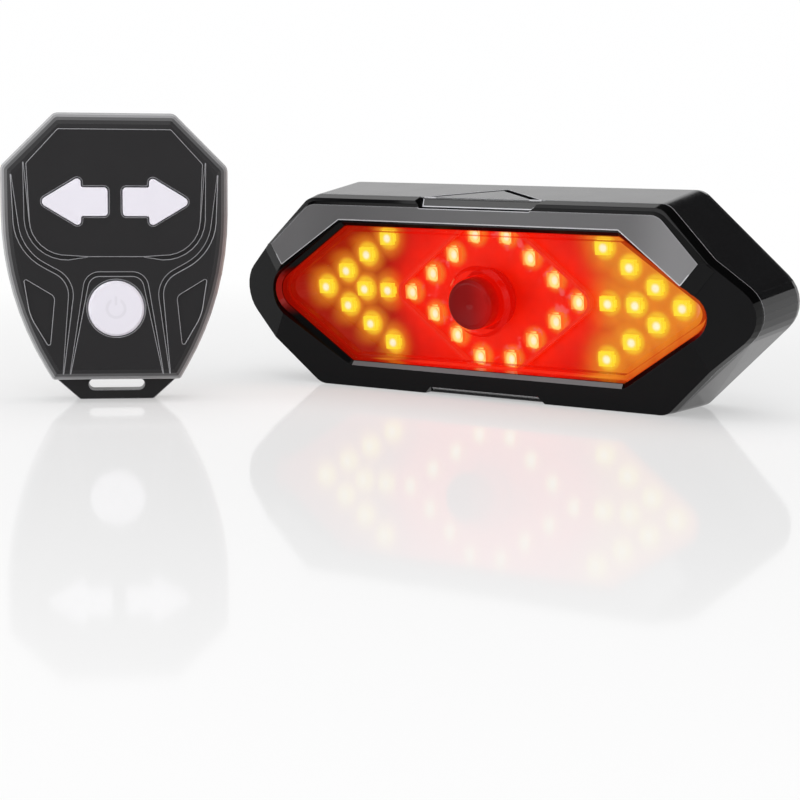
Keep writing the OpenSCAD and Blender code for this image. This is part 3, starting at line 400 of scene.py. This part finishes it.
def round_key_white(name, colour):
    """The round key, with a faint moulded power sign: a broken ring and a bar."""
    g = Graph(name)
    low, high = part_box("round_key")
    p = g.from_point((Vector(low) + Vector(high)) / 2)
    across = g.math("ABSOLUTE", g.math("DIVIDE", g.dot(p, REMOTE_RIGHT), MM))
    up = g.math("DIVIDE", g.dot(p, Z_AXIS), MM)
    off_ring = g.math("SUBTRACT", g.length(across, up), SIGN_RING_R)
    ring = g.ramp(g.math("ABSOLUTE", off_ring), *SIGN_LINE, 1.0, 0.0)
    bar = g.ramp(across, *SIGN_BAR, 1.0, 0.0)
    upper = g.ramp(up, *SIGN_BAR_FOOT)
    above = g.math("MULTIPLY", upper, g.ramp(up, *SIGN_BAR_TOP, 1.0, 0.0))
    gap = g.math("MULTIPLY", g.ramp(across, *SIGN_GAP, 1.0, 0.0), upper)
    ring = g.math("MULTIPLY", ring, g.math("SUBTRACT", 1.0, gap))
    sign = g.math("MAXIMUM", ring, g.math("MULTIPLY", bar, above))
    plain = g.mix(g.cloud(), scaled(colour, 0.98), colour)
    shader = g.principled(
        Base_Color=g.mix(g.math("MULTIPLY", sign, SIGN_SHARE), plain, scaled(colour, 0.85)),
        Roughness=0.45,
        Specular_IOR_Level=0.4,
        Normal=g.bump(sign, 0.2, GRAIN_DEPTH, g.rounded(0.3)),
    )
    return g.done(shader)


def metal(name, colour, rough):
    """Drawn metal with fine streaks in its polish."""
    g = Graph(name)
    stretch = g.node("ShaderNodeMapping")
    g.link(g.coords(), stretch.inputs["Vector"])
    stretch.inputs["Scale"].default_value = (1, 1, 30)
    streak = g.noise(900, 2, stretch.outputs[0])
    p = g.principled(
        Base_Color=g.mix(streak, scaled(colour, 0.92), colour),
        Metallic=1.0,
        Roughness=g.ramp(streak, 0.2, 0.8, rough * 0.7, rough * 1.3),
        Normal=g.rounded(0.1),
    )
    return g.done(p)


def circuit(name, colour):
    """Solder mask with a faint pattern of tracks."""
    g = Graph(name)
    tracks = g.node("ShaderNodeTexBrick")
    g.link(g.coords(), tracks.inputs["Vector"])
    tracks.inputs["Scale"].default_value = 400
    tracks.inputs["Color1"].default_value = colour
    tracks.inputs["Color2"].default_value = scaled(colour, 0.85)
    tracks.inputs["Mortar"].default_value = scaled(colour, 1.5)
    p = g.principled(Base_Color=tracks.outputs["Color"], Roughness=0.4)
    return g.done(p)


def zones(g, at):
    """1 in the red middle of the light, 0 round the amber arrows."""
    along = g.math("ADD", at.ax, g.math("MULTIPLY", at.ay, ZONE_LEAN))
    return g.ramp(along, *ZONE_EDGE, 1.0, 0.0)


def amber_glow(g, at, near):
    """Light round the arrows: it falls off to deep red on the left and to orange on the right."""
    left = g.mix(g.ramp(near, *AMBER_FALL_LEFT), LIT_AMBER, DEEP_RED)
    right = g.mix(g.ramp(near, *AMBER_FALL_RIGHT), LIT_AMBER, LIT_ORANGE)
    return g.mix(g.ramp(at.x, *SIDES_MEET_X), left, right)


def board_glow(g, at):
    """The lit board, painted as glow: amber arrows, a pale peach patch at the right tip that is a painted
    reflection, and painted pink glints along the lamps of its red middle.
    """
    near = g.nearest(at.ax, at.ay, AMBER_LAMPS)
    amber = g.mix(g.ramp(near, *AMBER_HALO), HALO_YELLOW, amber_glow(g, at, near))
    # Painted reflection: a peach patch at the right tip
    tip_reflection = g.math("MULTIPLY", g.ramp(at.x, *PATCH_X), g.ramp(at.ay, *PATCH_Y, 1.0, 0.0))
    amber = g.mix(tip_reflection, amber, PEACH_REFLECTION)
    near = g.nearest(at.ax, at.ay, RED_LAMPS)
    red = g.mix(g.ramp(near, *RED_FALL), LIT_RED, DIM_RED)
    red = g.mix(g.ramp(near, *RED_HALO), HALO_ORANGE, red)
    along = g.math("ADD", at.ax, g.math("MULTIPLY", at.ay, RED_RUN))
    off_line = g.math("ABSOLUTE", g.math("SUBTRACT", along, GLINT_LINE))
    band = g.ramp(off_line, *GLINT_BAND, GLINT_SHARE, 0.0)
    glints = g.math("MULTIPLY", band, g.ramp(g.noise(GLINT_SCALE, 2), *GLINT_SPOTS))
    red = g.mix(glints, red, GLINT_PINK)
    return g.mix(zones(g, at), amber, red)


def tray_glow(g, at):
    """The lit tray, painted as glow: the arrows' light falls on its slopes, and its low frame glows
    pinkish.
    """
    amber = amber_glow(g, at, g.nearest(at.ax, at.ay, AMBER_LAMPS))
    return g.mix(zones(g, at), amber, FRAME_GLOW_PINK)


def lit_inside(name, glow, base, strength):
    """Dull plastic or solder mask that shows little but the lamps' light, painted on it as a glow."""
    g = Graph(name)
    cloud = g.noise(500, 3)
    p = g.principled(
        Base_Color=g.mix(cloud, scaled(base, 0.8), base),
        Roughness=0.5,
        Specular_IOR_Level=0.2,
        Emission_Color=glow(g, g.face()),
        Emission_Strength=g.ramp(cloud, 0.2, 0.8, strength * 0.94, strength * 1.06),
    )
    return g.done(p)


def lamp(name, lamps, squeeze, core, body, rim, side):
    """A lit lamp: white-hot middle, coloured body, a deeper rim and plain sides."""
    g = Graph(name)
    at = g.face()
    shifted = g.math("ABSOLUTE", g.math("SUBTRACT", at.x, LAMP_SHIFT))
    d = g.nearest(shifted, at.ay, lamps, squeeze)
    front = g.mix(g.ramp(d, *HOT_SPOT), core, g.mix(g.ramp(d, *LAMP_BODY), body, rim))
    p = g.principled(
        Base_Color=scaled(body, 0.1),
        Roughness=0.4,
        Specular_IOR_Level=0.2,
        Emission_Color=g.mix(g.ramp(g.facing(OUT), 0.5, 0.8), side, front),
        Emission_Strength=g.ramp(g.noise(900, 2), 0.2, 0.8, 1.0, 1.12),
    )
    return g.done(p)


def tinted_lens(name):
    """Clear window whose rim and collar have a painted deep red glow."""
    g = Graph(name)
    zone = zones(g, g.face())
    upright = g.ramp(g.math("ABSOLUTE", g.facing(OUT)), 0.6, 0.8, 1.0, 0.0)
    clear = g.node("ShaderNodeBsdfTransparent")
    g.link(g.mix(zone, AMBER_CLEAR, RED_CLEAR), clear.inputs["Color"])
    body = g.principled(
        Base_Color=LENS_BODY,
        Roughness=g.ramp(g.noise(150, 3), 0.3, 0.7, 0.05, 0.09),
        Specular_IOR_Level=0.1,
        Emission_Color=g.mix(zone, RIM_GLOW_RED, COLLAR_GLOW_RED),
        Emission_Strength=g.ramp(upright, 0, 1, 0.0, 0.9),
        Normal=g.rounded(0.3),
    )
    return g.done(g.blend(g.ramp(upright, 0, 1, 0.06, 0.8), clear, body))


def smoky_button(name):
    """Smoky red cap: the switch behind shows faintly, and a painted red glow stands in for the lamps'
    light, redder at its right side and its foot.
    """
    g = Graph(name)
    at = g.face()
    foot = g.ramp(at.depth, *BUTTON_FOOT_DEPTH, 1.0, 0.0)
    # Painted glow, redder towards the cap's right side
    cap = g.mix(g.ramp(at.x, *BUTTON_RIGHT_X), BUTTON_FACE_GLOW, BUTTON_RIGHT_GLOW)
    clear = g.node("ShaderNodeBsdfTransparent")
    clear.inputs["Color"].default_value = BUTTON_CLEAR
    body = g.principled(
        Base_Color=g.mix(g.noise(300, 3), BUTTON_DARK, BUTTON_LIGHT),
        Roughness=0.35,
        Specular_IOR_Level=0.1,
        Emission_Color=g.mix(foot, cap, BUTTON_FOOT_GLOW),
        Emission_Strength=0.9,
        Normal=g.rounded(0.3),
    )
    return g.done(g.blend(BUTTON_BODY_SHARE, clear, body))


# What each node is made of
amber = lamp("amber lamp", AMBER_LAMPS, squeeze=1.0, core=rgb(255, 255, 232), body=rgb(255, 232, 66),
             rim=rgb(255, 224, 54), side=rgb(255, 224, 56))
red = lamp("red lamp", RED_LAMPS, squeeze=RED_SQUEEZE, core=rgb(255, 255, 228), body=rgb(255, 236, 140),
           rim=rgb(255, 140, 56), side=rgb(255, 104, 36))
keys = plastic("key white", KEY_WHITE, 0.45, 0.4, vary=0.02, grain=0.05, grain_scale=3500)
looks = {
    "front_bezel": bezel_black("bezel black"),
    # The housing's outer edges carry painted highlight lines
    "rear_housing": plastic("housing black", BLACK, 0.16, 0.33, edge=EDGE_HIGHLIGHT_GREY, edge_mm=0.22),
    "bracket_rail": plastic("rail black", scaled(BLACK, 1.6), 0.35, 0.4),
    "lens": tinted_lens("lens"),
    "lens_seal": plastic("seal black", RUBBER, 0.7, 0.3),
    "power_button": smoky_button("button"),
    "switch_plunger": plastic("plunger", RUBBER, 0.5),
    "button_switch": plastic("switch", RUBBER, 0.5),
    "reflector": lit_inside("reflector", tray_glow, rgb(60, 10, 6), 0.95),
    "led_board": lit_inside("lamp board", board_glow, rgb(60, 12, 6), 0.97),
    "amber_leds_left": amber,
    "amber_leds_right": amber,
    "red_leds": red,
    "control_chip": plastic("chip", RUBBER, 0.55),
    "radio_module": circuit("radio", BOARD_GREEN),
    "battery_cell": plastic("cell wrap", rgb(170, 172, 180), 0.35),
    "battery_pad": plastic("foam", rgb(70, 70, 72), 0.9, 0.2, grain=0.5, grain_scale=2500),
    "charge_board": circuit("charge board", BOARD_GREEN),
    "charge_socket": metal("socket steel", STEEL, 0.25),
    "port_flap": plastic("flap rubber", RUBBER, 0.6, 0.3, grain=0.3, grain_scale=2200),
    "flap_anchor": plastic("anchor rubber", RUBBER, 0.6, 0.3, grain=0.3, grain_scale=2200),
    "housing_seal": plastic("housing seal", scaled(RUBBER, 1.5), 0.7, 0.3),
    "housing_screws": metal("screw steel", SCREW_STEEL, 0.35),
    "remote_front_shell": remote_black("remote face", REMOTE_BLACK),
    "remote_rear_shell": remote_black("remote back", REMOTE_BLACK),
    "remote_seal": plastic("remote seal", RUBBER, 0.7, 0.3),
    "left_arrow_key": keys,
    "right_arrow_key": keys,
    "round_key": round_key_white("round key white", KEY_WHITE),
    "key_mat": plastic("key mat", rgb(190, 186, 198), 0.7, 0.3),
    "remote_board": circuit("remote board", BOARD_GREEN),
    "key_domes": metal("dome steel", STEEL, 0.25),
    "remote_chip": plastic("remote chip", RUBBER, 0.55),
    "coin_cell": metal("coin steel", STEEL, 0.3),
    "cell_holder": plastic("holder", scaled(RUBBER, 1.6), 0.5),
    "cell_contacts": metal("contact gold", GOLD, 0.3),
    "remote_screws": metal("remote screw steel", SCREW_STEEL, 0.35),
}
for name, obj in nodes.items():
    for i in range(len(obj.data.materials)):
        obj.data.materials[i] = looks[name]


# Stage: a glossy white floor and a round white backdrop, lower where the light's right slope mirrors it.
# Near the object the floor shows its shadow, and further out it turns white. Sizes are in metres, and
# the low stretch of the backdrop is given in degrees.
FLOOR_HALF = 4
FLOOR_WHITES = ((0.90, 0.90, 0.905, 1), (0.92, 0.92, 0.92, 1))
MIRROR_SHARE, MIRROR_ROUGH = 0.3, 0.06
WHITE_REACH = (0.06, 0.34)
WHITE_LEAST = 0.4
WALL_RADIUS = 1.6
WALL_TOP, WALL_LOW_TOP = 1.0, 0.45
WALL_STEPS = 180
LOW_FROM, LOW_TO = 40, 98


def stage_mesh(name, points, faces, material):
    """A mesh that belongs to the stage and not to the object."""
    mesh = bpy.data.meshes.new(name)
    mesh.from_pydata(points, [], faces)
    obj = bpy.data.objects.new(name, mesh)
    bpy.context.scene.collection.objects.link(obj)
    mesh.materials.append(material)


def white_floor():
    """White floor with a weak mirror in it, pure white to the eye further out."""
    g = Graph("white floor")
    matt = g.node("ShaderNodeBsdfDiffuse")
    g.link(g.mix(g.noise(4, 2), *FLOOR_WHITES), matt.inputs["Color"])
    mirror = g.node("ShaderNodeBsdfGlossy")
    mirror.inputs["Roughness"].default_value = MIRROR_ROUGH
    floor = g.blend(MIRROR_SHARE, matt, mirror)
    white = g.node("ShaderNodeEmission")
    distance = g.node("ShaderNodeVectorMath", operation="LENGTH")
    g.link(g.coords(), distance.inputs[0])
    far = g.ramp(distance.outputs["Value"], *WHITE_REACH, WHITE_LEAST, 1.0)
    return g.done(g.blend(g.math("MULTIPLY", g.seen(), far), floor, white))


def white_wall():
    """White to the eye and in mirrors; it sheds no light on the object."""
    g = Graph("white wall")
    glow = g.node("ShaderNodeEmission")
    g.link(g.mix(g.noise(1, 1), (1, 1, 1, 1), (0.995, 0.995, 1, 1)), glow.inputs["Color"])
    return g.done(g.blend(g.seen(), g.node("ShaderNodeBsdfTransparent"), glow))


floor_signs = ((-1, -1), (1, -1), (1, 1), (-1, 1))
floor_points = [(FLOOR_HALF * sx, FLOOR_HALF * sy, 0) for sx, sy in floor_signs]
stage_mesh("floor", floor_points, [(0, 1, 2, 3)], white_floor())
wall_points = []
for i in range(WALL_STEPS + 1):
    turn = 360 * i / WALL_STEPS
    x = WALL_RADIUS * math.cos(math.radians(turn))
    y = WALL_RADIUS * math.sin(math.radians(turn))
    top = WALL_LOW_TOP if LOW_FROM < turn < LOW_TO else WALL_TOP
    wall_points += [(x, y, 0), (x, y, top)]
wall_faces = [(2 * i, 2 * i + 2, 2 * i + 3, 2 * i + 1) for i in range(WALL_STEPS)]
stage_mesh("backdrop", wall_points, wall_faces, white_wall())


def softbox(name, place, aim, wide, tall, radiance):
    """A rectangular lamp of this size and brightness, aimed at a point."""
    light = bpy.data.lights.new(name, "AREA")
    light.shape = "RECTANGLE"
    light.size = wide
    light.size_y = tall
    light.energy = radiance * math.pi * wide * tall
    obj = bpy.data.objects.new(name, light)
    bpy.context.scene.collection.objects.link(obj)
    obj.location = place
    obj.rotation_euler = (Vector(aim) - Vector(place)).to_track_quat("-Z", "Y").to_euler()


# Light: four softboxes, and a weak even light from all sides
AMBIENT = 0.04
softbox("overhead", (0, 0, 1.1), aim=(0, 0, 0), wide=1.6, tall=1.6, radiance=1.6)
softbox("front left", (-0.63, -1.0, 0.25), aim=(0, 0, 0.02), wide=1.2, tall=0.45, radiance=4)
softbox("right", (1.2, 0, 0.25), aim=(0, 0, 0.03), wide=1.4, tall=0.45, radiance=1.7)
softbox("fill", (0.5, -1.0, 0.8), aim=(0, 0, 0.02), wide=0.9, tall=0.6, radiance=3)
world = bpy.data.worlds.new("studio")
bpy.context.scene.world = world
world.use_nodes = True
sky = world.node_tree.nodes["Background"]
sky.inputs["Color"].default_value = (1, 1, 1, 1)
sky.inputs["Strength"].default_value = AMBIENT

# Camera, fitted to the outlines of both objects in the photograph
EYE = Vector((194.73, -331.53, 50.92)) * MM
TARGET = Vector((-20.46, -9.40, -2.02)) * MM
ROLL = 0.0094
FOCAL_LENGTH, SENSOR_WIDTH = 85.778, 36
camera_data = bpy.data.cameras.new("camera")
camera_data.lens = FOCAL_LENGTH
camera_data.sensor_width = SENSOR_WIDTH
camera_data.clip_start = 0.01
camera_data.clip_end = 20
camera = bpy.data.objects.new("camera", camera_data)
bpy.context.scene.collection.objects.link(camera)
camera.location = EYE
looking = (TARGET - EYE).to_track_quat("-Z", "Y")
camera.rotation_euler = (looking @ Quaternion((0, 0, 1), ROLL)).to_euler()
bpy.context.scene.camera = camera
bpy.context.scene.view_settings.view_transform = "Standard"
